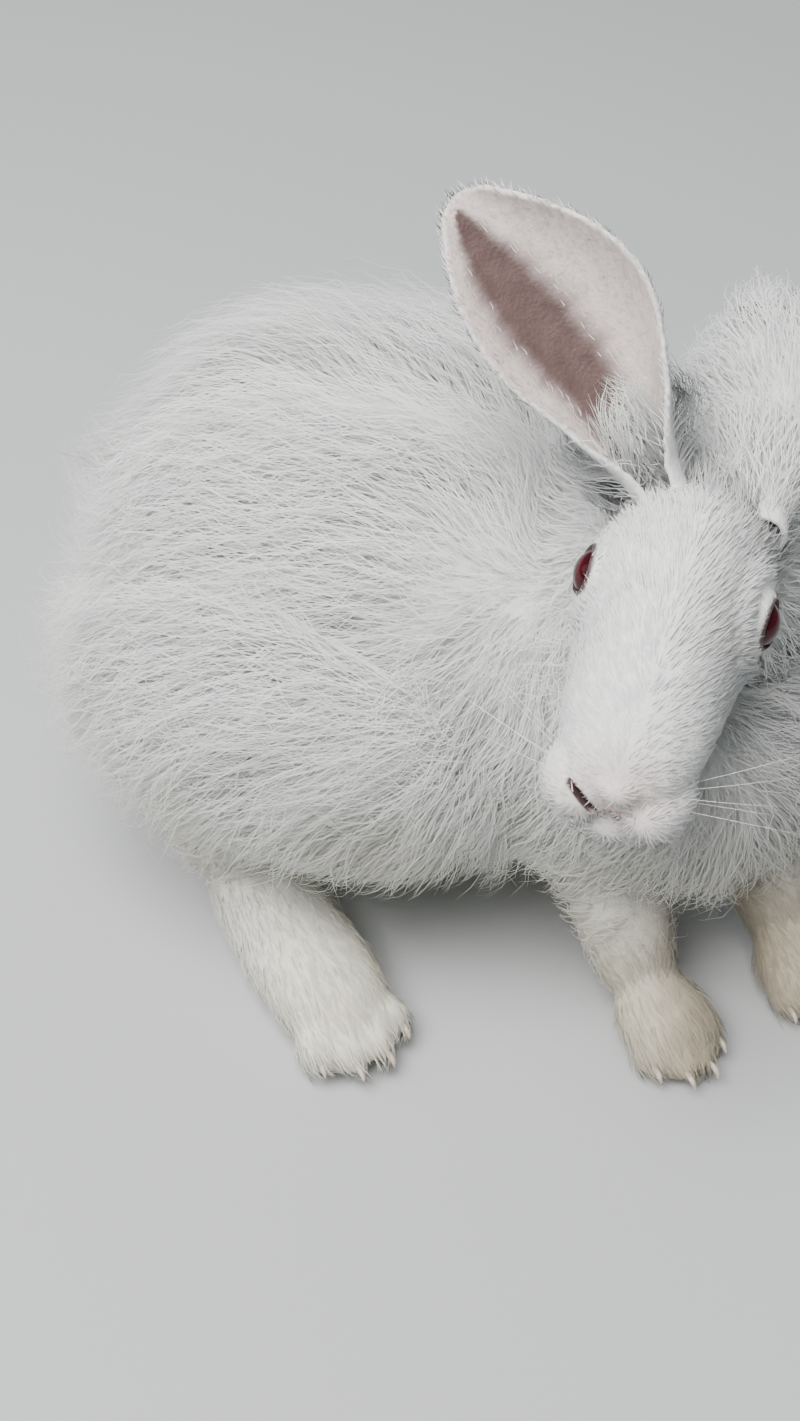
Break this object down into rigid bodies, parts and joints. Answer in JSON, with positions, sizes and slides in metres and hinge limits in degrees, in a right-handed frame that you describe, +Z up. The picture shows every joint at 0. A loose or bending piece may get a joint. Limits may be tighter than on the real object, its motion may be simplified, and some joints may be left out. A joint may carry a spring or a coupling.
{
  "type": "angora rabbit model",
  "caption": "Life-size still model of a crouching white angora rabbit, its head turned to its right and one ear raised, in a long coat of wool.",
  "frame": {"origin": "the middle of the footprint's box, on the floor", "axes": "+X along the body towards the chest, +Y to the animal's left, +Z up; the head looks towards -Y"},
  "size_m": [0.32, 0.2554, 0.2577],
  "materials": {
    "wool": "long matt white wool in loose bending locks",
    "short_fur": "short soft white fur, cream stained on the front paws",
    "ear_skin": "thin pink skin under very short white fur",
    "eye": "wet dark ruby red of an albino eye"
  },
  "bodies": {
    "root": {"torso": "wool", "neck": "wool", "tail": "wool", "hindleg_right": "wool", "hindleg_left": "wool", "head": "short_fur", "foreleg_right": "short_fur", "foreleg_left": "short_fur", "ear_right": "ear_skin", "ear_left": "ear_skin", "eye_right": "eye", "eye_left": "eye"}
  },
  "joints": []
}
